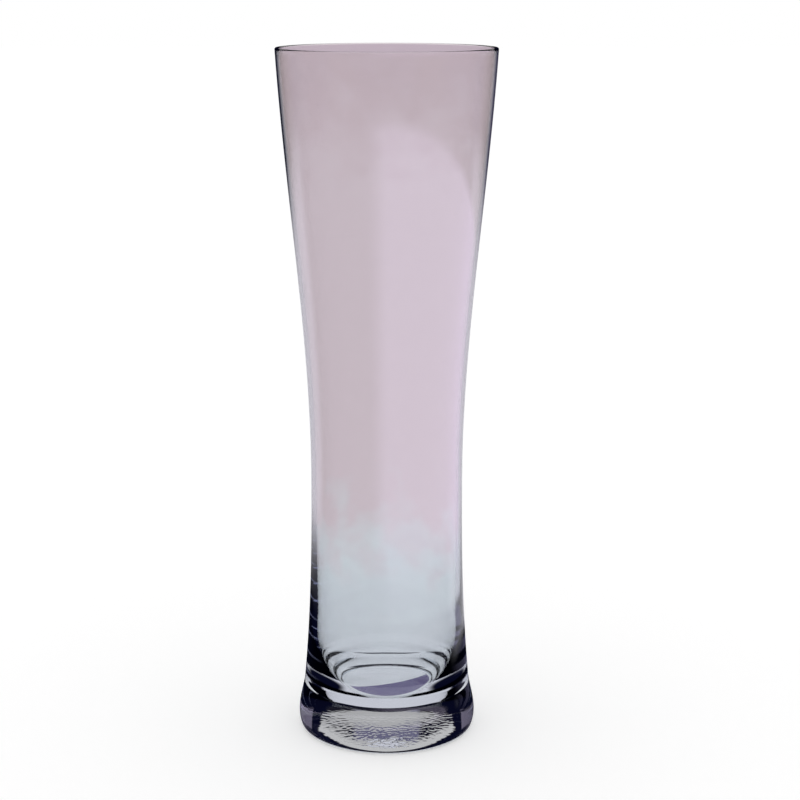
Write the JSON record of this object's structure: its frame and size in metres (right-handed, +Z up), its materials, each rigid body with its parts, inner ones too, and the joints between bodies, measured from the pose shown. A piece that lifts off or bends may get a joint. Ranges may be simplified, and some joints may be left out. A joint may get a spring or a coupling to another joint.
{
  "type": "beer glass",
  "caption": "Tall waisted wheat-beer glass of clear glass, flaring to a thin rim, on a thick solid foot with a shallow hollow underneath.",
  "frame": {"origin": "middle of the flat ring that the glass rests on, on the table plane", "axes": "+Z up along the glass's axis, from the foot to the rim; +X and +Y are any two square directions, because the glass is round"},
  "size_m": [0.078, 0.078, 0.25],
  "materials": {
    "clear_glass": "clear soda-lime glass, blown and fire-polished"
  },
  "bodies": {
    "root": {"bowl": "clear_glass", "foot": "clear_glass"}
  },
  "joints": []
}
